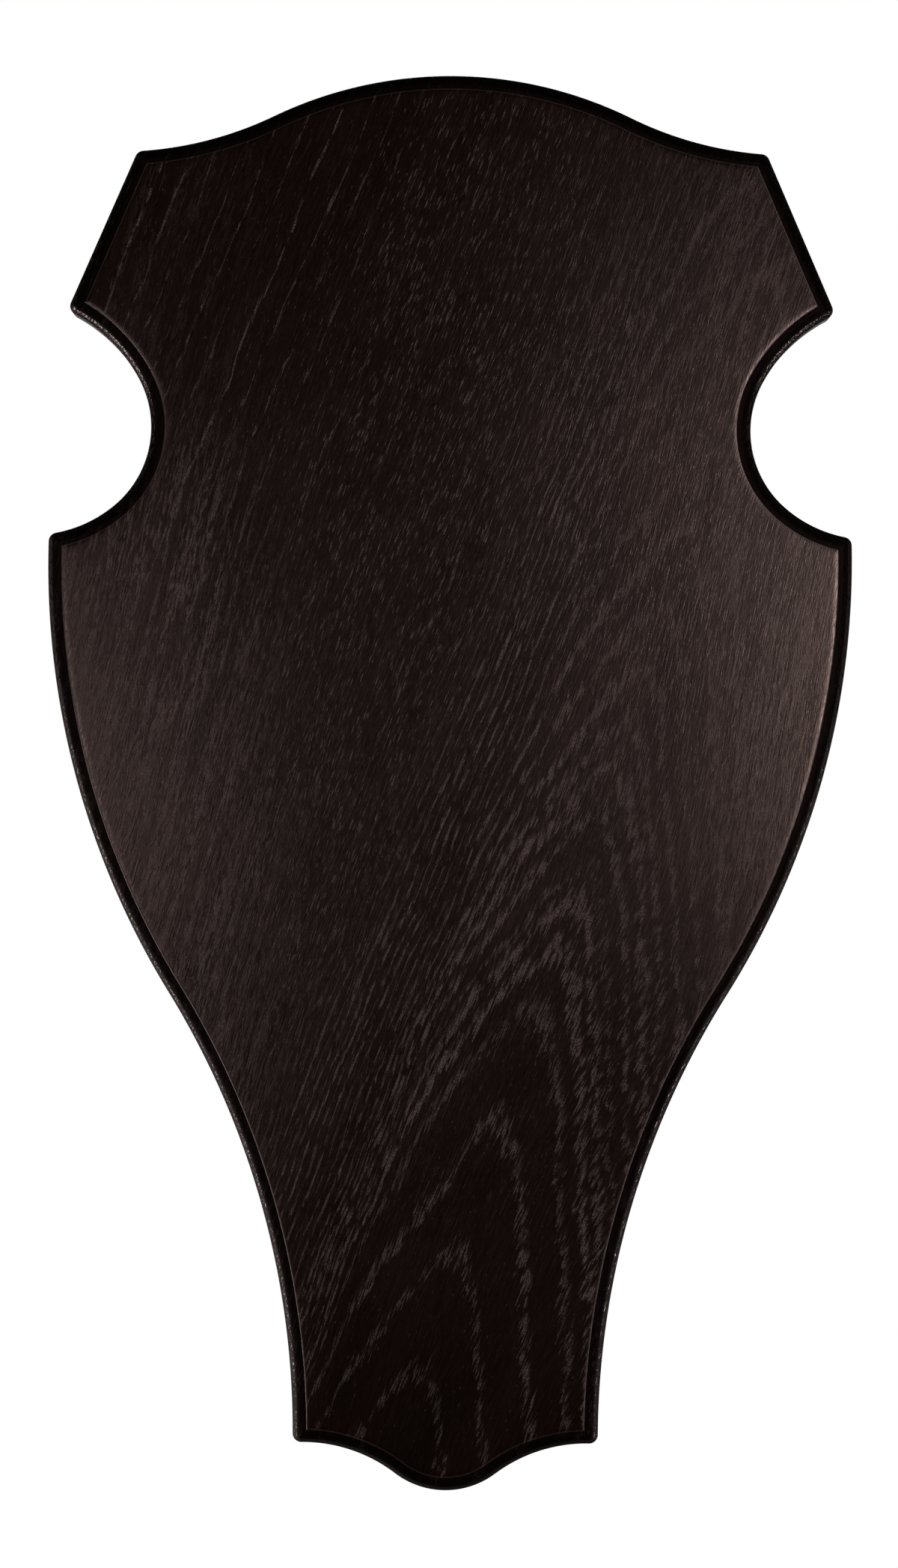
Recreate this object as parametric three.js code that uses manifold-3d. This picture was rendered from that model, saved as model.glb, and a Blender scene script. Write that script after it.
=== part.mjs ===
// An antler mounting plaque: a shield-shaped board of dark oak with a moulded edge and a keyhole slot behind.
// Millimetres. +Z is up, the back lies in the plane y = 0 and the face looks along -Y.
// The origin is on the back, on the centre line, at hanging height, just above the keyhole slot.

import * as THREE from 'three';
import { mergeVertices } from 'three/addons/utils/BufferGeometryUtils.js';
import Module from 'manifold-3d';

// Overall sizes
const boardHeight = 475;
const boardWidth = 270;
const boardThickness = 20;
const hangingDrop = 55; // the origin's depth below the crest

// Crest: a round top that sweeps down on each side to a sharp ear corner
const crestRadius = 137.3;
const crestTurn = 25.9; // degrees of the round top on each side of the centre line
const earCornerDrop = 25.8; // below the crest
const earCornerInset = 29.3; // in from the board's widest point

// Ear: a straight slant from the ear corner out to the ear tip
const earTipDrop = 79.4;
const earTipInset = 6;

// Notch: a round bite in each side, tightest at its waist
const waistDrop = 118.6;
const waistDepth = 34.3; // in from the board's widest point
const waistRadius = 34.2;
const waistTurnUp = 29; // degrees of the tight arc above the waist
const waistTurnDown = 50; // degrees of the tight arc below it

// Belly and neck: the long sides, bulging from the shoulder and then drawn in towards the foot
const shoulderDrop = 154.5;
const widestDrop = 164;
const bellyRadius = 272.8;
const bellyTurn = 31.9; // degrees of the bulge below the widest point

// Foot: a corner on each side and a round tip swept out between them
const footCornerX = 51.3; // out from the centre line
const footCornerRise = 15.8; // above the tip
const tipRadius = 27.9;
const tipTurn = 37; // degrees of the round tip on each side of the centre line

// Edge moulding, from the outline inwards: a quarter round, a narrow flat and a small step up to the face
const cornerRadius = 3; // rounding of the outline's corners
const cornerRadiusLeast = 0.25; // what is left of it where the moulding has worked inwards
const quarterRoundRadius = 3.3;
const flatWidth = 1.2;
const stepHeight = 1.2;
const stepDraft = 0.4; // how far the step leans in as it rises
const backEase = 0.8; // chamfer round the back

// Keyhole slot in the back: a screw head goes in at the round entry and slides up behind the lips
const screwHeadRadius = 4.2;
const screwNeckRadius = 1.9;
const headClearance = 0.8;
const neckClearance = 0.7;
const lipThickness = 4.5;
const headRoomDepth = 5.5; // behind the lips
const slotTravel = 24; // from the entry's centre to the slot's upper end's centre
const slotEndDrop = 12; // the upper end's centre below the origin

// Fineness of the facets
const chordTolerance = 0.035;
const cornerSegments = 5;
const quarterRoundSegments = 5;
const slotEndSegments = 12;

const radians = THREE.MathUtils.degToRad;
const halfWidth = boardWidth / 2;
const crestZ = hangingDrop;
const tipZ = crestZ - boardHeight;

// An arc that leaves a point in a given direction and ends at another point, as a curve with a parameter from
// 0 to 1. Its curvature may have either sign, or be zero for a straight line.
function arcTo(start, heading, end) {
  const chord = end.clone().sub(start);
  const turn = 2 * Math.atan2(heading.cross(chord), heading.dot(chord));
  const leastTurn = 1e-6;
  const straight = Math.abs(turn) < leastTurn;
  const length = straight ? chord.length() : chord.length() * (turn / 2) / Math.sin(turn / 2);
  const startAngle = Math.atan2(heading.y, heading.x);
  const headingAt = (t) => new THREE.Vector2(Math.cos(startAngle + t * turn), Math.sin(startAngle + t * turn));
  const pointAt = (t) => {
    const part = straight ? t * length : length * Math.sin(t * turn / 2) / (turn / 2);
    return start.clone().addScaledVector(headingAt(t / 2), part);
  };
  const radius = straight ? Infinity : length / Math.abs(turn);
  const step = 2 * Math.acos(Math.max(1 - chordTolerance / radius, 0));
  const segments = straight ? 1 : Math.ceil(Math.abs(turn) / step);
  return { pointAt, headingAt, segments };
}

// An arc of a given radius about a centre, from one angle to another in degrees
function arcAbout(centreX, centreZ, radius, fromDegrees, toDegrees) {
  const at = (degrees) => new THREE.Vector2(
    centreX + radius * Math.cos(radians(degrees)),
    centreZ + radius * Math.sin(radians(degrees)),
  );
  const side = Math.sign(toDegrees - fromDegrees) * 90;
  const heading = new THREE.Vector2(
    Math.cos(radians(fromDegrees + side)),
    Math.sin(radians(fromDegrees + side)),
  );
  return arcTo(at(fromDegrees), heading, at(toDegrees));
}

// The same arc walked the other way
function reversed(arc) {
  return {
    pointAt: (t) => arc.pointAt(1 - t),
    headingAt: (t) => arc.headingAt(1 - t).negate(),
    segments: arc.segments,
  };
}

// The right half of the outline, clockwise from the crest to the tip, as stretches of smoothly joined arcs.
// The stretches meet at the four corners: ear corner, ear tip, shoulder and foot.
function halfOutline() {
  const earCorner = new THREE.Vector2(halfWidth - earCornerInset, crestZ - earCornerDrop);
  const earTip = new THREE.Vector2(halfWidth - earTipInset, crestZ - earTipDrop);
  const footCorner = new THREE.Vector2(footCornerX, tipZ + footCornerRise);

  const crest = arcAbout(0, crestZ - crestRadius, crestRadius, 90, 90 - crestTurn);
  const crestSweep = arcTo(crest.pointAt(1), crest.headingAt(1), earCorner);

  const slant = arcTo(earCorner, earTip.clone().sub(earCorner).normalize(), earTip);

  const bellyX = halfWidth - bellyRadius;
  const bellyZ = crestZ - widestDrop;
  const shoulderAngle = THREE.MathUtils.radToDeg(Math.asin((widestDrop - shoulderDrop) / bellyRadius));
  const belly = arcAbout(bellyX, bellyZ, bellyRadius, shoulderAngle, -bellyTurn);
  const neck = arcTo(belly.pointAt(1), belly.headingAt(1), footCorner);

  const waistX = halfWidth - waistDepth + waistRadius;
  const waist = arcAbout(waistX, crestZ - waistDrop, waistRadius, 180 - waistTurnUp, 180 + waistTurnDown);
  const notchTop = reversed(arcTo(waist.pointAt(0), waist.headingAt(0).negate(), earTip));
  const notchFoot = arcTo(waist.pointAt(1), waist.headingAt(1), belly.pointAt(0));

  const tip = arcAbout(0, tipZ + tipRadius, tipRadius, -90, -90 + tipTurn);
  const tipSweep = arcTo(tip.pointAt(1), tip.headingAt(1), footCorner);

  return [
    [crest, crestSweep],
    [slant],
    [notchTop, waist, notchFoot],
    [belly, neck],
    [reversed(tipSweep), reversed(tip)],
  ];
}

// A point set in from an arc, square to it. The outline runs clockwise, so inwards is on the right.
function insetPoint(arc, t, inset) {
  const heading = arc.headingAt(t);
  return arc.pointAt(t).add(new THREE.Vector2(heading.y, -heading.x).multiplyScalar(inset));
}

// Where two arcs that meet at a corner cross once both are set in: the parameter on each, by Newton's method
function insetCorner(before, after, inset) {
  const newtonRounds = 12;
  const nudge = 1e-5;
  let u = 1;
  let v = 0;
  for (let round = 0; round < newtonRounds; round += 1) {
    const gap = insetPoint(before, u, inset).sub(insetPoint(after, v, inset));
    const du = insetPoint(before, u + nudge, inset).sub(insetPoint(before, u - nudge, inset));
    const dv = insetPoint(after, v + nudge, inset).sub(insetPoint(after, v - nudge, inset));
    const size = du.cross(dv) / (2 * nudge);
    u -= gap.cross(dv) / size;
    v -= gap.cross(du) / size;
  }
  return [u, v];
}

// The half outline set in by a distance, its corners rounded, always with the same number of points
function insetHalf(stretches, inset) {
  const radius = Math.max(cornerRadius - inset, cornerRadiusLeast);
  const corners = stretches.slice(1).map((after, index) => (
    insetCorner(stretches[index].at(-1), after[0], inset + radius)
  ));
  const points = [];
  stretches.forEach((stretch, index) => {
    const entry = index > 0 ? corners[index - 1][1] : 0;
    const exit = index < corners.length ? corners[index][0] : 1;
    stretch.forEach((arc, place) => {
      const from = place === 0 ? entry : 0;
      const to = place === stretch.length - 1 ? exit : 1;
      for (let step = place === 0 ? 0 : 1; step <= arc.segments; step += 1) {
        points.push(insetPoint(arc, from + (to - from) * step / arc.segments, inset));
      }
    });
    if (index < corners.length) {
      const centre = insetPoint(stretch.at(-1), exit, inset + radius);
      const start = points.at(-1).clone().sub(centre);
      const end = insetPoint(stretches[index + 1][0], corners[index][1], inset).sub(centre);
      const turn = Math.atan2(start.cross(end), start.dot(end));
      for (let step = 1; step < cornerSegments; step += 1) {
        points.push(start.clone().rotateAround(new THREE.Vector2(), turn * step / cornerSegments).add(centre));
      }
    }
  });
  return points;
}

// The whole outline set in by a distance: the right half, then its mirror image back up the left side
function insetOutline(stretches, inset) {
  const right = insetHalf(stretches, inset);
  const left = right.slice(1, -1).reverse().map((point) => new THREE.Vector2(-point.x, point.y));
  return [...right, ...left];
}

// The edge's profile from the back to the face: how far in from the outline, and how far forward of the back
function edgeProfile() {
  const flatY = boardThickness - stepHeight;
  const profile = [[backEase, 0], [0, backEase]];
  for (let step = 0; step <= quarterRoundSegments; step += 1) {
    const angle = radians(90 * step / quarterRoundSegments);
    profile.push([
      quarterRoundRadius * (1 - Math.cos(angle)),
      flatY - quarterRoundRadius * (1 - Math.sin(angle)),
    ]);
  }
  const flatInset = quarterRoundRadius + flatWidth;
  profile.push([flatInset, flatY], [flatInset + stepDraft, boardThickness]);
  return profile;
}

// The board before the slot is cut: one ring of points for each step of the profile, joined ring to ring and
// closed by a flat back and a flat face
function boardGeometry() {
  const stretches = halfOutline();
  const rings = edgeProfile().map(([inset, forward]) => ({
    forward,
    outline: insetOutline(stretches, inset),
  }));
  const count = rings[0].outline.length;
  const positions = rings.flatMap(({ forward, outline }) => (
    outline.flatMap((point) => [point.x, -forward, point.y])
  ));
  const index = [];
  for (let ring = 0; ring < rings.length - 1; ring += 1) {
    for (let step = 0; step < count; step += 1) {
      const a = ring * count + step;
      const b = ring * count + (step + 1) % count;
      index.push(a, a + count, b, b, a + count, b + count);
    }
  }
  const last = (rings.length - 1) * count;
  for (const [a, b, c] of THREE.ShapeUtils.triangulateShape(rings[0].outline, [])) {
    index.push(a, c, b);
  }
  for (const [a, b, c] of THREE.ShapeUtils.triangulateShape(rings.at(-1).outline, [])) {
    index.push(last + a, last + b, last + c);
  }
  const geometry = new THREE.BufferGeometry();
  geometry.setAttribute('position', new THREE.Float32BufferAttribute(positions, 3));
  geometry.setIndex(index);
  return geometry;
}

// A round-ended upright slot, from one depth in from the back to another
function slotGeometry(radius, lowZ, highZ, fromDepth, toDepth) {
  const shape = new THREE.Shape();
  shape.absarc(0, highZ, radius, 0, Math.PI, false);
  shape.absarc(0, lowZ, radius, Math.PI, 2 * Math.PI, false);
  shape.closePath();
  const geometry = new THREE.ExtrudeGeometry(shape, {
    depth: toDepth - fromDepth,
    bevelEnabled: false,
    curveSegments: slotEndSegments,
  });
  geometry.rotateX(Math.PI / 2);
  geometry.translate(0, -fromDepth, 0);
  return geometry;
}

const wasm = await Module();
wasm.setup();

// A closed three.js geometry as a solid that can be joined and cut
function toSolid(geometry) {
  const mergeDistance = 1e-4;
  const bare = geometry.clone();
  bare.deleteAttribute('normal');
  bare.deleteAttribute('uv');
  const merged = mergeVertices(bare, mergeDistance);
  return new wasm.Manifold(new wasm.Mesh({
    numProp: 3,
    vertProperties: merged.getAttribute('position').array,
    triVerts: new Uint32Array(merged.getIndex().array),
  }));
}

// A solid as a three.js geometry again
function toGeometry(solid) {
  const mesh = solid.getMesh();
  const geometry = new THREE.BufferGeometry();
  geometry.setAttribute('position', new THREE.BufferAttribute(mesh.vertProperties, 3));
  geometry.setIndex(new THREE.BufferAttribute(mesh.triVerts, 1));
  geometry.computeVertexNormals();
  return geometry;
}

// The keyhole slot: a round entry, a narrow way up between the lips and a wide room for the head behind them
function keyholeSolid() {
  const headRadius = screwHeadRadius + headClearance;
  const neckRadius = screwNeckRadius + neckClearance;
  const slotDepth = lipThickness + headRoomDepth;
  const upperZ = -slotEndDrop;
  const entryZ = upperZ - slotTravel;
  const overshoot = 1;
  const entry = toSolid(slotGeometry(headRadius, entryZ, entryZ + overshoot, -overshoot, slotDepth));
  const room = toSolid(slotGeometry(headRadius, entryZ, upperZ, lipThickness, slotDepth));
  const way = toSolid(slotGeometry(neckRadius, entryZ, upperZ, -overshoot, lipThickness + overshoot));
  return entry.add(room).add(way);
}

const stainedOak = new THREE.MeshStandardMaterial({ color: 0x2a1f1c, roughness: 0.5, metalness: 0 });

const board = new THREE.Mesh(toGeometry(toSolid(boardGeometry()).subtract(keyholeSolid())), stainedOak);
board.name = 'oak_shield_board';

const plaque = new THREE.Group();
plaque.add(board);

export default plaque;
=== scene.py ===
import math

import bmesh
import bpy
import numpy as np
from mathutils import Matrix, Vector


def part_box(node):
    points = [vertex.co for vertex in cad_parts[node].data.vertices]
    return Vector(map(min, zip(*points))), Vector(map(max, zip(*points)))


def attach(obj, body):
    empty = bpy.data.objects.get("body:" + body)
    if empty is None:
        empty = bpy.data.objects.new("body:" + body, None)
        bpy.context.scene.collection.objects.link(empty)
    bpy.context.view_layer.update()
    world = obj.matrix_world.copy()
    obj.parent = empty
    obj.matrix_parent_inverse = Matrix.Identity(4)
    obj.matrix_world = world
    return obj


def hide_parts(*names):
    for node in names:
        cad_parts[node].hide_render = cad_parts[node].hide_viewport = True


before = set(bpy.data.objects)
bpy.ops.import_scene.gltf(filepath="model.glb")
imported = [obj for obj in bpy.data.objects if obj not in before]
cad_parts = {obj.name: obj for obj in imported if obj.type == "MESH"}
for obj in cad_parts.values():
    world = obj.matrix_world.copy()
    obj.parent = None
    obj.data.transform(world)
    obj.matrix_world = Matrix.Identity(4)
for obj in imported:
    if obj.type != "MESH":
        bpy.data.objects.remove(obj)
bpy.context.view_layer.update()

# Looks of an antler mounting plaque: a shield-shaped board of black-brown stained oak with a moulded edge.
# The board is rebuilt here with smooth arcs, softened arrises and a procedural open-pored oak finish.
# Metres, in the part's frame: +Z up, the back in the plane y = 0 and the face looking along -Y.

MM = 0.001
NODE = "oak_shield_board"

low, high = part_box(NODE)
BOARD_HEIGHT = high[2] - low[2]
HALF_WIDTH = (high[0] - low[0]) / 2
THICKNESS = high[1] - low[1]
CREST_Z = high[2]
TIP_Z = low[2]

# Outline, from the crest down the right side to the tip
CREST_RADIUS = 137.3 * MM
CREST_TURN = math.radians(25.9)
EAR_CORNER_DROP = 25.8 * MM
EAR_CORNER_INSET = 29.3 * MM
EAR_TIP_DROP = 79.4 * MM
EAR_TIP_INSET = 6 * MM
WAIST_DROP = 118.6 * MM
WAIST_DEPTH = 34.3 * MM
WAIST_RADIUS = 34.2 * MM
WAIST_TURN_UP = math.radians(29)
WAIST_TURN_DOWN = math.radians(50)
SHOULDER_DROP = 154.5 * MM
WIDEST_DROP = 164 * MM
BELLY_RADIUS = 272.8 * MM
BELLY_TURN = math.radians(31.9)
FOOT_CORNER_X = 51.3 * MM
FOOT_CORNER_RISE = 15.8 * MM
TIP_RADIUS = 27.9 * MM
TIP_TURN = math.radians(37)

# Edge moulding, from the outline inwards
CORNER_RADIUS = 3 * MM
CORNER_RADIUS_LEAST = 0.25 * MM
BACK_EASE = 0.8 * MM
ROUND_WIDTH = 3.5 * MM
ROUND_END_TILT = math.radians(14)
FLAT_WIDTH = 1.2 * MM
STEP_HEIGHT = 1.2 * MM
STEP_DRAFT = 0.1 * MM

# Wear that sanding left on the face's edge: a small round, then a long shallow fall
ARRIS_RADIUS = 0.3 * MM
FALL_WIDTH = 3 * MM
FALL_DEPTH = 0.07 * MM
FALL_POWER = 4

# The outer shares of the round and of the arris that keep the finish of the band before them
ROUND_SIDE_SHARE = 0.7
ARRIS_MOULDING_SHARE = 0.4

# Keyhole slot in the back
HEAD_RADIUS = 5 * MM
NECK_RADIUS = 2.6 * MM
LIP_THICKNESS = 4.5 * MM
SLOT_DEPTH = 10 * MM
SLOT_TRAVEL = 24 * MM
SLOT_END_DROP = 12 * MM

# Fineness of the mesh
CHORD_TOLERANCE = 0.004 * MM
LONGEST_STEP = 3 * MM
CORNER_STEPS = 12
CORNER_ROUNDS = 12
EASE_STEPS = 4
ROUND_STEPS = 14
ARRIS_STEPS = 8
FALL_STEPS = 12
SLOT_END_STEPS = 24

# Extra rings this far from a corner keep its shading to itself, in the moulding and on the back
CREASE = 0.03 * MM
BACK_MARGIN = 2 * MM

# Edges sharper than this are shaded sharp
SHARP_ANGLE = math.radians(35)


# The outline


class Arc:
    """An arc from a start point, leaving along a heading, to an end point. Its parameter runs from 0 to 1."""

    def __init__(self, start, heading, end):
        self.start = np.array(start, float)
        chord = np.array(end, float) - self.start
        across = heading[0] * chord[1] - heading[1] * chord[0]
        self.turn = 2 * math.atan2(across, float(np.dot(heading, chord)))
        self.angle = math.atan2(heading[1], heading[0])
        half = self.turn / 2
        self.length = np.hypot(*chord) * (half / math.sin(half) if abs(half) > 1e-7 else 1)

    def heading(self, t):
        angle = self.angle + t * self.turn
        return np.array([math.cos(angle), math.sin(angle)])

    def point(self, t):
        half = t * self.turn / 2
        reach = self.length * t * (math.sin(half) / half if abs(half) > 1e-9 else 1)
        return self.start + reach * self.heading(t / 2)

    def inset(self, t, distance):
        """The point set in from the outline, which runs clockwise, so that inwards is on the right."""
        heading = self.heading(t)
        return self.point(t) + distance * np.array([heading[1], -heading[0]])

    def steps(self):
        """How many straight pieces keep the arc within the chord tolerance and the longest step."""
        radius = self.length / max(abs(self.turn), 1e-9)
        by_turn = abs(self.turn) / (2 * math.acos(max(1 - CHORD_TOLERANCE / radius, -1)))
        return math.ceil(max(by_turn, self.length / LONGEST_STEP))

    def reversed(self):
        return Arc(self.point(1), -self.heading(1), self.start)


def arc_about(centre, radius, start_angle, end_angle):
    """The arc of a radius about a centre, from one angle to another."""
    way = math.copysign(math.pi / 2, end_angle - start_angle)
    start = [centre[0] + radius * math.cos(start_angle), centre[1] + radius * math.sin(start_angle)]
    end = [centre[0] + radius * math.cos(end_angle), centre[1] + radius * math.sin(end_angle)]
    return Arc(start, (math.cos(start_angle + way), math.sin(start_angle + way)), end)


def half_outline():
    """The right half of the outline as stretches of smoothly joined arcs that meet at four corners."""
    ear_corner = np.array([HALF_WIDTH - EAR_CORNER_INSET, CREST_Z - EAR_CORNER_DROP])
    ear_tip = np.array([HALF_WIDTH - EAR_TIP_INSET, CREST_Z - EAR_TIP_DROP])
    foot_corner = np.array([FOOT_CORNER_X, TIP_Z + FOOT_CORNER_RISE])
    quarter = math.pi / 2

    crest = arc_about((0, CREST_Z - CREST_RADIUS), CREST_RADIUS, quarter, quarter - CREST_TURN)
    crest_sweep = Arc(crest.point(1), crest.heading(1), ear_corner)
    slant = Arc(ear_corner, (ear_tip - ear_corner) / np.hypot(*(ear_tip - ear_corner)), ear_tip)

    shoulder_angle = math.asin((WIDEST_DROP - SHOULDER_DROP) / BELLY_RADIUS)
    belly_centre = (HALF_WIDTH - BELLY_RADIUS, CREST_Z - WIDEST_DROP)
    belly = arc_about(belly_centre, BELLY_RADIUS, shoulder_angle, -BELLY_TURN)
    neck = Arc(belly.point(1), belly.heading(1), foot_corner)

    waist_centre = (HALF_WIDTH - WAIST_DEPTH + WAIST_RADIUS, CREST_Z - WAIST_DROP)
    waist = arc_about(waist_centre, WAIST_RADIUS, math.pi - WAIST_TURN_UP, math.pi + WAIST_TURN_DOWN)
    notch_top = Arc(waist.point(0), -waist.heading(0), ear_tip).reversed()
    notch_foot = Arc(waist.point(1), waist.heading(1), belly.point(0))

    tip = arc_about((0, TIP_Z + TIP_RADIUS), TIP_RADIUS, -quarter, -quarter + TIP_TURN)
    tip_sweep = Arc(tip.point(1), tip.heading(1), foot_corner)

    return [
        [crest, crest_sweep],
        [slant],
        [notch_top, waist, notch_foot],
        [belly, neck],
        [tip_sweep.reversed(), tip.reversed()],
    ]


def inset_corner(before, after, distance):
    """The parameters at which two arcs that meet at a corner cross once set in, by Newton's method."""
    nudge = 1e-5
    u, v = 1.0, 0.0
    for _ in range(CORNER_ROUNDS):
        gap = before.inset(u, distance) - after.inset(v, distance)
        du = (before.inset(u + nudge, distance) - before.inset(u - nudge, distance)) / (2 * nudge)
        dv = (after.inset(v + nudge, distance) - after.inset(v - nudge, distance)) / (2 * nudge)
        size = du[0] * dv[1] - du[1] * dv[0]
        u -= (gap[0] * dv[1] - gap[1] * dv[0]) / size
        v -= (gap[0] * du[1] - gap[1] * du[0]) / size
    return u, v


def inset_half(stretches, distance):
    """The half outline set in by a distance, its corners rounded, always with the same number of points."""
    radius = max(CORNER_RADIUS - distance, CORNER_RADIUS_LEAST)
    pairs = zip(stretches[:-1], stretches[1:])
    corners = [inset_corner(before[-1], after[0], distance + radius) for before, after in pairs]
    points = []
    for place, stretch in enumerate(stretches):
        entry = corners[place - 1][1] if place else 0
        leave = corners[place][0] if place < len(corners) else 1
        for number, arc in enumerate(stretch):
            first = entry if number == 0 else 0
            last = leave if number == len(stretch) - 1 else 1
            steps = arc.steps()
            for step in range(0 if number == 0 else 1, steps + 1):
                points.append(arc.inset(first + (last - first) * step / steps, distance))
        if place < len(corners):
            centre = stretch[-1].inset(leave, distance + radius)
            start = points[-1] - centre
            end = stretches[place + 1][0].inset(corners[place][1], distance) - centre
            turn = math.atan2(start[0] * end[1] - start[1] * end[0], float(start @ end))
            for step in range(1, CORNER_STEPS):
                angle = turn * step / CORNER_STEPS
                cos, sin = math.cos(angle), math.sin(angle)
                points.append(centre + [start[0] * cos - start[1] * sin, start[0] * sin + start[1] * cos])
    return np.array(points)


def inset_outline(stretches, distance):
    """The whole outline set in by a distance: the right half, then its mirror image up the left side."""
    right = inset_half(stretches, distance)
    left = right[-2:0:-1] * [-1, 1]
    return np.vstack([right, left])


# The board's mesh

BACK, SIDE, MOULDING, ARRIS, FACE = range(5)


def edge_profile():
    """Steps from the back to the face: inset from the outline, height over the back, finish up to there."""
    profile = [(BACK_EASE + BACK_MARGIN, 0, BACK)]
    for step in range(EASE_STEPS + 1):
        angle = math.pi / 2 * step / EASE_STEPS
        finish = SIDE if step else BACK
        profile.append((BACK_EASE * (1 - math.sin(angle)), BACK_EASE * (1 - math.cos(angle)), finish))

    flat_level = THICKNESS - STEP_HEIGHT
    radius = ROUND_WIDTH / (1 - math.sin(ROUND_END_TILT))
    for step in range(ROUND_STEPS + 1):
        angle = (math.pi / 2 - ROUND_END_TILT) * step / ROUND_STEPS
        inset = radius * (1 - math.cos(angle))
        forward = flat_level - radius * (math.cos(ROUND_END_TILT) - math.sin(angle))
        finish = MOULDING if step > ROUND_STEPS * ROUND_SIDE_SHARE else SIDE
        profile.append((inset, forward, finish))

    flat_end = ROUND_WIDTH + FLAT_WIDTH
    profile.append((ROUND_WIDTH + CREASE, flat_level, MOULDING))
    profile.append((flat_end - CREASE, flat_level, MOULDING))
    profile.append((flat_end, flat_level, MOULDING))
    profile.append((flat_end + CREASE * STEP_DRAFT / STEP_HEIGHT, flat_level + CREASE, MOULDING))

    step_end = flat_end + STEP_DRAFT
    arris_level = THICKNESS - FALL_DEPTH
    for step in range(ARRIS_STEPS + 1):
        angle = math.pi / 2 * step / ARRIS_STEPS
        inset = step_end + ARRIS_RADIUS * (1 - math.cos(angle))
        forward = arris_level - ARRIS_RADIUS * (1 - math.sin(angle))
        finish = ARRIS if step > ARRIS_STEPS * ARRIS_MOULDING_SHARE else MOULDING
        profile.append((inset, forward, finish))
    for step in range(1, FALL_STEPS + 1):
        share = step / FALL_STEPS
        inset = step_end + ARRIS_RADIUS + (FALL_WIDTH - ARRIS_RADIUS) * share
        forward = THICKNESS - FALL_DEPTH * (1 - share) ** FALL_POWER
        profile.append((inset, forward, ARRIS if step == 1 else FACE))
    return profile


def slot_solid(name, radius, low_z, high_z, from_depth, to_depth):
    """An upright slot with round ends about two heights, from one depth in from the back to another."""
    ring = []
    for end, middle_z in enumerate((high_z, low_z)):
        for step in range(SLOT_END_STEPS + 1):
            angle = math.pi * (end + step / SLOT_END_STEPS)
            ring.append((radius * math.cos(angle), middle_z + radius * math.sin(angle)))
    count = len(ring)
    verts = [(x, -from_depth, z) for x, z in ring] + [(x, -to_depth, z) for x, z in ring]
    faces = [tuple(range(count - 1, -1, -1)), tuple(range(count, 2 * count))]
    for step in range(count):
        after = (step + 1) % count
        faces.append((step, after, after + count, step + count))
    mesh = bpy.data.meshes.new(name)
    mesh.from_pydata(verts, [], faces)
    solid = bpy.data.objects.new(name, mesh)
    bpy.context.collection.objects.link(solid)
    return solid


def keyhole_cutters():
    """The slot's parts as solids: the entry, the way up between the lips and the room behind them."""
    upper_z = -SLOT_END_DROP
    entry_z = upper_z - SLOT_TRAVEL
    over = 1 * MM
    # a hair between faces of different cutters keeps them out of one plane
    hair = 0.01 * MM
    return [
        slot_solid("cut_entry", HEAD_RADIUS, entry_z, entry_z + hair, -over, SLOT_DEPTH),
        slot_solid("cut_way", NECK_RADIUS, entry_z, upper_z, -over, LIP_THICKNESS + over),
        slot_solid("cut_room", HEAD_RADIUS - hair, entry_z, upper_z, LIP_THICKNESS, SLOT_DEPTH - hair),
    ]


def board_piece():
    """The whole board as one closed mesh, one material index for each kind of surface."""
    stretches = half_outline()
    profile = edge_profile()
    rings = [inset_outline(stretches, inset) for inset, _, _ in profile]
    count = len(rings[0])
    verts = []
    for ring, (_, forward, _) in zip(rings, profile):
        verts += [(x, -forward, z) for x, z in ring]
    faces, finishes = [], []
    for level in range(len(rings) - 1):
        for step in range(count):
            a = level * count + step
            b = level * count + (step + 1) % count
            faces.append((a, a + count, b + count, b))
            finishes.append(profile[level + 1][2])
    last = (len(rings) - 1) * count
    faces += [tuple(range(count)), tuple(range(last + count - 1, last - 1, -1))]
    finishes += [BACK, FACE]
    mesh = bpy.data.meshes.new("oak_plaque")
    mesh.from_pydata(verts, [], faces)
    mesh.polygons.foreach_set("material_index", finishes)
    mesh.polygons.foreach_set("use_smooth", [True] * len(faces))
    mesh.update()
    board = bpy.data.objects.new("oak_plaque", mesh)
    bpy.context.collection.objects.link(board)
    return board


def cut(board, cutters):
    """Cuts the closed cutters out of the board for good and deletes them."""
    for cutter in cutters:
        modifier = board.modifiers.new(cutter.name, "BOOLEAN")
        modifier.operation = "DIFFERENCE"
        modifier.solver = "EXACT"
        modifier.object = cutter
    depsgraph = bpy.context.evaluated_depsgraph_get()
    carved = bpy.data.meshes.new_from_object(board.evaluated_get(depsgraph))
    plain = board.data
    board.modifiers.clear()
    board.data = carved
    bpy.data.meshes.remove(plain)
    for cutter in cutters:
        bpy.data.meshes.remove(cutter.data)

    # arrises stay crisp and everything rounder is shaded smooth
    shape = bmesh.new()
    shape.from_mesh(carved)
    for edge in shape.edges:
        edge.smooth = edge.calc_face_angle(0) < SHARP_ANGLE
    shape.to_mesh(carved)
    shape.free()


# Materials


class Value:
    """A number or vector on its way through a material's nodes, so that formulas read as formulas."""

    def __init__(self, tree, socket):
        self.tree = tree
        self.socket = socket

    def __add__(self, other):
        return math_node("ADD", self, other)

    def __radd__(self, other):
        return math_node("ADD", self, other)

    def __sub__(self, other):
        return math_node("SUBTRACT", self, other)

    def __rsub__(self, other):
        return math_node("SUBTRACT", other, self)

    def __mul__(self, other):
        return math_node("MULTIPLY", self, other)

    def __truediv__(self, other):
        return math_node("DIVIDE", self, other)

    def __neg__(self):
        return math_node("MULTIPLY", self, -1)


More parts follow.
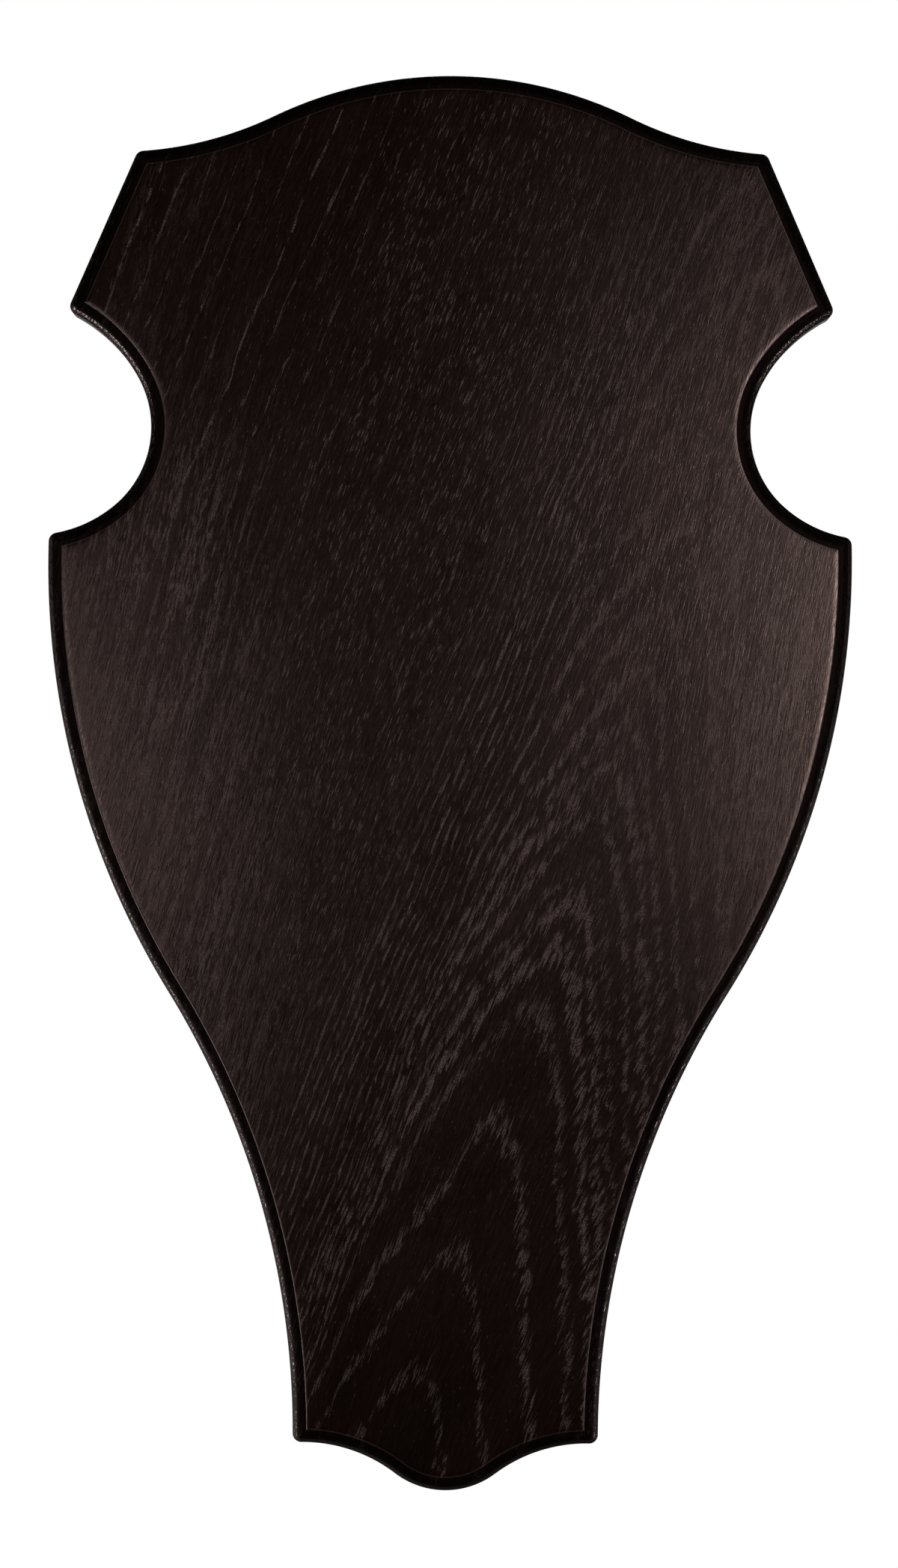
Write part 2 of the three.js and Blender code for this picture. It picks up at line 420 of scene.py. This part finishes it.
def plug(tree, value, socket):
    """Links a Value to a socket, or gives the socket a plain number or colour."""
    if isinstance(value, Value):
        tree.links.new(value.socket, socket)
    else:
        socket.default_value = value


def math_node(operation, *values):
    """The result of one operation on Values and plain numbers."""
    tree = next(value.tree for value in values if isinstance(value, Value))
    node = tree.nodes.new("ShaderNodeMath")
    node.operation = operation
    for value, socket in zip(values, node.inputs):
        plug(tree, value, socket)
    return Value(tree, node.outputs[0])


def ramp(value, low, high, to_low=0.0, to_high=1.0):
    """A smooth step: to_low where the value is low, to_high where it is high."""
    node = value.tree.nodes.new("ShaderNodeMapRange")
    node.interpolation_type = "SMOOTHSTEP"
    for number, name in zip((low, high, to_low, to_high), ("From Min", "From Max", "To Min", "To Max")):
        plug(value.tree, number, node.inputs[name])
    plug(value.tree, value, node.inputs["Value"])
    return Value(value.tree, node.outputs["Result"])


def vector(x, y, z):
    """Three Values or plain numbers as one vector."""
    tree = next(value.tree for value in (x, y, z) if isinstance(value, Value))
    node = tree.nodes.new("ShaderNodeCombineXYZ")
    for value, socket in zip((x, y, z), node.inputs):
        plug(tree, value, socket)
    return Value(tree, node.outputs[0])


def noise(where, detail):
    """Smooth noise about zero, from -0.5 to 0.5 or so, with features one unit across."""
    node = where.tree.nodes.new("ShaderNodeTexNoise")
    node.inputs["Scale"].default_value = 1
    node.inputs["Detail"].default_value = detail
    plug(where.tree, where, node.inputs["Vector"])
    return Value(where.tree, node.outputs[0]) - 0.5


def scattered(where):
    """Points strewn one to a unit cell: the distance to the nearest, and a random number of its own."""
    node = where.tree.nodes.new("ShaderNodeTexVoronoi")
    node.inputs["Scale"].default_value = 1
    plug(where.tree, where, node.inputs["Vector"])
    split = where.tree.nodes.new("ShaderNodeSeparateColor")
    where.tree.links.new(node.outputs["Color"], split.inputs[0])
    return Value(where.tree, node.outputs["Distance"]), Value(where.tree, split.outputs[0])


def blend(amount, first, second):
    """A mix of two colours, each a Value or a plain tuple."""
    tree = amount.tree
    node = tree.nodes.new("ShaderNodeMix")
    node.data_type = "RGBA"
    plug(tree, amount, node.inputs["Factor"])
    for colour, socket in ((first, node.inputs["A"]), (second, node.inputs["B"])):
        plug(tree, colour if isinstance(colour, Value) else (*colour, 1), socket)
    return Value(tree, node.outputs["Result"])


# The wood, in millimetres. The fibres lean to the right as they rise. The rings come out as tall arches along
# an axis that leans too, and as long lines to its left.
FACE_Y = -20.0
FIBRE_LEAN = math.radians(21.5)
ARCH_X = 17.0
ARCH_Z = -298.0
ARCH_LEAN = math.radians(17.3)
ARCH_ROUND = 4.0
ARCH_WANDER = 12.0

# The lean that is lost towards each side: side, amount, x and softness of the turn, middle height and reach
LEAN_LOST_LEFT = (-1, 0.19, -62.0, 38.0, -70.0, 150.0)
LEAN_LOST_RIGHT = (1, 0.22, 64.0, 26.0, -170.0, 95.0)

# How steeply a ring falls beside the axis, in height per distance aside, and where that changes how softly
FALL_NEAR = 2.1
FALL_FAR_LEFT = 12.0
FALL_FAR_RIGHT = 2.9
FALL_TURN_LEFT = (30.0, 7.0)
FALL_TURN_RIGHT = (14.0, 6.0)

# Height from ring to ring, and the heights above the arch's foot where that changes and how softly
RING_GAPS = (42.0, 16.0, 30.0, 96.0)
RING_TURNS = ((48.0, 6.0), (170.0, 25.0), (640.0, 60.0))
RING_TILT = 5.5
RING_FRAY = 22.0
EARLY_WOOD = 7.0

# Where the grain changes: the start and the end of each smooth change, along x or z or aside from the axis
STREWN_START = (-150, -115)
STREWN_END = (-75, -45)
STREWN_FOOT = (-290, -230)
CALM_SIDE = (25, 75)
CALM_FOOT = (-300, -180)
COMBED_LEFT = (-90, -45)
COMBED_LEFT_TOP = (-110, -50)
COMBED_RIGHT = (70, 110)

# Glints in the lacquer: denser above this height, and on the round only
GLINTS_DENSER = (-90, -62)
ROUND_Y = (-16, -15)

LACQUER_IOR = 1.5
LACQUER_TINT = (1, 0.69, 0.63, 1)
RELIEF_DEPTH = 0.02 * MM


def hinge(value, knee, softness):
    """Zero below the knee and the distance past it above, with a soft turn."""
    past = value - knee
    return (math_node("SQRT", past * past + softness * softness) + past) * 0.5


def lean_lost(x, z, side, amount, knee, softness, level, reach):
    """How far the fibres are moved to stand up straighter past a knee on one side, most so about a level."""
    beside = math_node("TANH", (x - knee) / softness) * (side * 0.5) + 0.5
    return beside * math_node("TANH", (z - level) / reach) * (reach * amount)


class Wood:
    """Where a spot lies in the wood: x, y, z, across and along the fibres and aside from the arches' axis.
    Also how early in its ring it grew, from 0 to 1, and the ring's own random number, its luck."""

    def __init__(self, tree):
        coordinate = tree.nodes.new("ShaderNodeTexCoord")
        split = tree.nodes.new("ShaderNodeSeparateXYZ")
        tree.links.new(coordinate.outputs["Object"], split.inputs[0])
        x, y, z = (Value(tree, socket) / MM for socket in split.outputs)
        self.x, self.y, self.z = x, y, z

        turn = lean_lost(x, z, *LEAN_LOST_LEFT) + lean_lost(x, z, *LEAN_LOST_RIGHT)
        self.across = (x - z * math.tan(FIBRE_LEAN) + turn) * math.cos(FIBRE_LEAN)
        self.along = x * math.sin(FIBRE_LEAN) + z * math.cos(FIBRE_LEAN)

        arch_cos, arch_sin = math.cos(ARCH_LEAN), math.sin(ARCH_LEAN)
        wander = self.noise(30, 80, detail=2.0) * ARCH_WANDER
        aside = (x - ARCH_X) * arch_cos - (z - ARCH_Z) * arch_sin + wander
        above = (x - ARCH_X) * arch_sin + (z - ARCH_Z) * arch_cos
        self.aside = aside

        # vessels start and stop each at its own height, which frays the rings along the fibres
        fray = self.noise(0.6, 14) + self.noise(3, 30) * 0.6
        fall = (math_node("SQRT", aside * aside + ARCH_ROUND ** 2) - ARCH_ROUND) * FALL_NEAR
        fall = fall + hinge(-aside, *FALL_TURN_LEFT) * (FALL_FAR_LEFT - FALL_NEAR)
        fall = fall + hinge(aside, *FALL_TURN_RIGHT) * (FALL_FAR_RIGHT - FALL_NEAR)
        height = above + fall + fray * RING_FRAY + (y - FACE_Y) * RING_TILT

        rings = height / RING_GAPS[0]
        slope = 1 / RING_GAPS[0]
        for (knee, softness), before, after in zip(RING_TURNS, RING_GAPS[:-1], RING_GAPS[1:]):
            rings = rings + hinge(height, knee, softness) * (1 / after - 1 / before)
            slope = slope + ramp(height, knee - softness, knee + softness, 0, 1 / after - 1 / before)
        phase = math_node("FRACT", rings)
        chance = tree.nodes.new("ShaderNodeTexWhiteNoise")
        chance.noise_dimensions = "1D"
        plug(tree, math_node("FLOOR", rings), chance.inputs["W"])
        self.luck = Value(tree, chance.outputs["Value"])
        width = slope * EARLY_WOOD * (0.6 + self.luck * 0.8)
        self.early = ramp(phase, 0, width * 0.25) * ramp(phase, width * 0.6, width * 1.4, 1, 0)

    def stretched(self, width, length, depth=None):
        """Coordinates with one unit cell for each stretch of wood of that width, depth and length."""
        return vector(self.across / width, self.y / (depth or width), self.along / length)

    def noise(self, width, length, depth=None, detail=1.0):
        """Noise with features of that width, depth and length in the wood."""
        return noise(self.stretched(width, length, depth), detail)


def open_pores(wood, lines):
    """How open the pores are at each spot, from 0 to 1."""
    # where the saw met the rings almost flat, vessels are strewn with no lines
    strewn = ramp(wood.aside, *STREWN_START) * ramp(wood.aside, *STREWN_END, 1, 0)
    strewn = strewn * ramp(wood.z, *STREWN_FOOT)
    patches = ramp(wood.noise(7, 40, detail=2.0), -0.1, 0.14)
    dashes = wood.noise(1.4, 5)
    vessels = ramp(lines + dashes * 0.7, -0.08, 0.05) * wood.early * (0.55 + wood.luck * 0.45)
    calm = ramp(wood.x, *CALM_SIDE) * ramp(wood.z, *CALM_FOOT, 0.3, 0.6)
    vessels = vessels * (1 - strewn * 0.8) * (1 - calm)

    distance, pick = scattered(wood.stretched(0.8, 6.8))
    density = 0.1 + strewn * (0.14 + patches * 0.07) + wood.early * 0.12
    reach = density * (0.7 + pick * 0.6)
    single = ramp(distance, reach * 0.5, reach, 1, 0) * 0.75
    faint = ramp(lines, 0.08, 0.18) * 0.05

    # towards both sides, rings cut on edge leave broad bands of fine vessels
    combed = ramp(wood.x, *COMBED_LEFT, 1, 0) * ramp(wood.z, *COMBED_LEFT_TOP, 1, 0.2)
    combed = combed + ramp(wood.x, *COMBED_RIGHT) * 0.6
    bands = ramp(wood.noise(2.2, 60, depth=8), -0.08, 0.06, 0.04, 0.85)
    fine = ramp(wood.noise(0.45, 4), -0.06, 0.12) * bands * combed

    pores = math_node("MAXIMUM", math_node("MAXIMUM", vessels, single), faint + fine)
    return pores * ramp(wood.noise(0.24, 0.4), -0.12, 0.12, 0.12, 1)


def oak(name, dark, pale, pore_light, roughness, bump, gloss, glints=0):
    """Open-pored stained oak. Vessels show as pale dashes along the fibres, crowded in the early wood."""
    material = bpy.data.materials.new(name)
    material.use_nodes = True
    tree = material.node_tree
    shader = tree.nodes["Principled BSDF"]
    wood = Wood(tree)
    lines = wood.noise(0.4, 6.5, detail=2.0)
    pores = open_pores(wood, lines)
    streaks = wood.noise(0.5, 20, detail=3.0)
    fibres = wood.noise(0.32, 1.8)
    grooves = ramp(wood.noise(0.3, 8), 0.1, 0.2)
    clouds = wood.noise(22, 70, detail=2.0)

    ground = blend(ramp(clouds + streaks * 0.8, -0.3, 0.35), dark, pale)
    plug(tree, blend(pores, ground, pore_light), shader.inputs["Base Color"])

    surface = roughness + (fibres * 0.1 + streaks * 0.09 + clouds * 0.04) + pores * 0.28 + grooves * 0.03
    height = streaks * 1.4 + fibres * 1.5 - pores * 0.6 - grooves * 0.4
    if glints:
        specks = wood.noise(0.55, 2.2)
        shiny = ramp(specks - ramp(wood.z, *GLINTS_DENSER, 0.05, -0.08), 0, 0.08)
        surface = surface - shiny * ramp(wood.y, *ROUND_Y, 1, 0) * glints
        height = height + specks * 10
    plug(tree, surface, shader.inputs["Roughness"])
    shader.inputs["IOR"].default_value = LACQUER_IOR
    shader.inputs["Specular IOR Level"].default_value = gloss
    shader.inputs["Specular Tint"].default_value = LACQUER_TINT

    relief = tree.nodes.new("ShaderNodeBump")
    relief.inputs["Strength"].default_value = bump
    relief.inputs["Distance"].default_value = RELIEF_DEPTH
    plug(tree, height, relief.inputs["Height"])
    tree.links.new(relief.outputs["Normal"], shader.inputs["Normal"])
    return material


def dress(board):
    """One finish for each kind of surface, in the order of their numbers."""
    finishes = [
        oak(
            "oak_back",
            dark=(0.012, 0.0075, 0.006),
            pale=(0.02, 0.013, 0.01),
            pore_light=(0.05, 0.036, 0.03),
            roughness=0.62,
            bump=0.5,
            gloss=0.2,
        ),
        oak(
            "oak_side",
            dark=(0.0015, 0.0009, 0.0007),
            pale=(0.003, 0.0018, 0.0015),
            pore_light=(0.012, 0.009, 0.008),
            roughness=0.72,
            bump=1,
            gloss=0.22,
            glints=0.6,
        ),
        oak(
            "oak_moulding",
            dark=(0.002, 0.001, 0.0008),
            pale=(0.004, 0.0022, 0.0018),
            pore_light=(0.02, 0.014, 0.012),
            roughness=0.34,
            bump=0.8,
            gloss=0.015,
        ),
        # the arris is lighter than the face: partly stain sanded off the edge, partly a painted highlight for
        # the lit line along it
        oak(
            "oak_arris",
            dark=(0.014, 0.007, 0.006),
            pale=(0.022, 0.013, 0.011),
            pore_light=(0.08, 0.057, 0.052),
            roughness=0.3,
            bump=0.6,
            gloss=0.35,
        ),
        oak(
            "oak_face",
            dark=(0.0045, 0.0014, 0.001),
            pale=(0.0085, 0.0031, 0.0024),
            pore_light=(0.112, 0.079, 0.073),
            roughness=0.195,
            bump=0.6,
            gloss=0.19,
        ),
    ]
    for finish in finishes:
        board.data.materials.append(finish)


# The studio

VIEW_DISTANCE = 1.6
SENSOR_WIDTH = 36
PHOTO_WIDTH = 1200
PHOTO_HEIGHT = 2095
PLAQUE_TOP_PX = 101.1
PLAQUE_FOOT_PX = 1991.6
PLAQUE_CENTRE_PX = 599.8
PLAQUE_LEAN = math.radians(0.32)

# Lamps: place, target, width, height and watts. The low strips stand beside the board, level with its back:
# seen from the front, only the outer round mirrors them.
FACE_AIM = (0, 0, -0.16)
SOFTBOXES = {
    "softbox_left": ((-0.42, -1.75, -0.192), FACE_AIM, 0.08, 0.28, 2.45),
    "softbox_right": ((0.54, -1.75, -0.087), FACE_AIM, 0.1, 0.3, 9.8),
    "softbox_right_wide": ((0.47, -1.76, -0.06), FACE_AIM, 0.69, 0.48, 1.25),
    "low_strip_left": ((-0.95, 0.02, -0.62), (-0.12, 0, -0.03), 0.22, 0.6, 12),
    "low_strip_right": ((0.95, 0.03, -0.62), (0.12, 0, -0.03), 0.04, 0.5, 5),
}

# The white ground as the board mirrors it: its strength, its rim as y of the direction, the dark around it
GROUND_STRENGTH = 5
GROUND_RIM = (0.92, 0.97)
DARK_STRENGTH = 0.01

FLOOR_Z = -3.6
FLOOR_REACH = 4.0
FLOOR_COLOUR = (0.85, 0.85, 0.84, 1)
FLOOR_ROUGHNESS = 0.8


def camera():
    """Square on to the face, framed as in the photograph."""
    pixel = BOARD_HEIGHT / (PLAQUE_FOOT_PX - PLAQUE_TOP_PX)
    middle_px = (PLAQUE_TOP_PX + PLAQUE_FOOT_PX) / 2
    centre_x = (PHOTO_WIDTH / 2 - PLAQUE_CENTRE_PX) * pixel
    centre_z = (CREST_Z + TIP_Z) / 2 - (PHOTO_HEIGHT / 2 - middle_px) * pixel
    outline_y = -(THICKNESS - STEP_HEIGHT - ROUND_WIDTH)
    data = bpy.data.cameras.new("photo_camera")
    data.sensor_width = SENSOR_WIDTH
    data.lens = data.sensor_width * VIEW_DISTANCE / (PHOTO_HEIGHT * pixel)
    eye = bpy.data.objects.new("photo_camera", data)
    eye.location = (centre_x, outline_y - VIEW_DISTANCE, centre_z)
    eye.rotation_euler = (math.pi / 2, -PLAQUE_LEAN, 0)
    bpy.context.collection.objects.link(eye)
    bpy.context.scene.camera = eye


def softbox(name, place, target, width, height, power):
    """A rectangular lamp with its face to the target."""
    data = bpy.data.lights.new(name, "AREA")
    data.shape = "RECTANGLE"
    data.size = width
    data.size_y = height
    data.energy = power
    lamp = bpy.data.objects.new(name, data)
    lamp.location = place
    way = Vector(target) - Vector(place)
    lamp.rotation_euler = way.to_track_quat("-Z", "Y").to_euler()
    bpy.context.collection.objects.link(lamp)


def studio():
    """Softboxes beside the camera, strips beside the board, white ground behind it and a pale floor below."""
    world = bpy.data.worlds.new("studio")
    bpy.context.scene.world = world
    world.use_nodes = True
    tree = world.node_tree
    background = tree.nodes["Background"]
    coordinate = tree.nodes.new("ShaderNodeTexCoord")
    split = tree.nodes.new("ShaderNodeSeparateXYZ")
    tree.links.new(coordinate.outputs["Generated"], split.inputs[0])
    mirrored = ramp(Value(tree, split.outputs[1]), *GROUND_RIM, DARK_STRENGTH, GROUND_STRENGTH)
    seen = Value(tree, tree.nodes.new("ShaderNodeLightPath").outputs["Is Camera Ray"])
    plug(tree, mirrored * (1 - seen) + seen, background.inputs["Strength"])
    background.inputs["Color"].default_value = (1, 1, 1, 1)

    for name, lamp in SOFTBOXES.items():
        softbox(name, *lamp)

    floor_mesh = bpy.data.meshes.new("floor")
    reach = FLOOR_REACH
    corners = [(-reach, -reach), (reach, -reach), (reach, reach), (-reach, reach)]
    floor_mesh.from_pydata([(x, y, FLOOR_Z) for x, y in corners], [], [(0, 1, 2, 3)])
    floor = bpy.data.objects.new("floor", floor_mesh)
    bpy.context.collection.objects.link(floor)
    paint = bpy.data.materials.new("pale_floor")
    paint.use_nodes = True
    shader = paint.node_tree.nodes["Principled BSDF"]
    shader.inputs["Base Color"].default_value = FLOOR_COLOUR
    shader.inputs["Roughness"].default_value = FLOOR_ROUGHNESS
    floor_mesh.materials.append(paint)


camera()
studio()
board = board_piece()
dress(board)
cut(board, keyhole_cutters())
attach(board, "root")
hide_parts(NODE)
bpy.context.scene.view_settings.view_transform = "Standard"
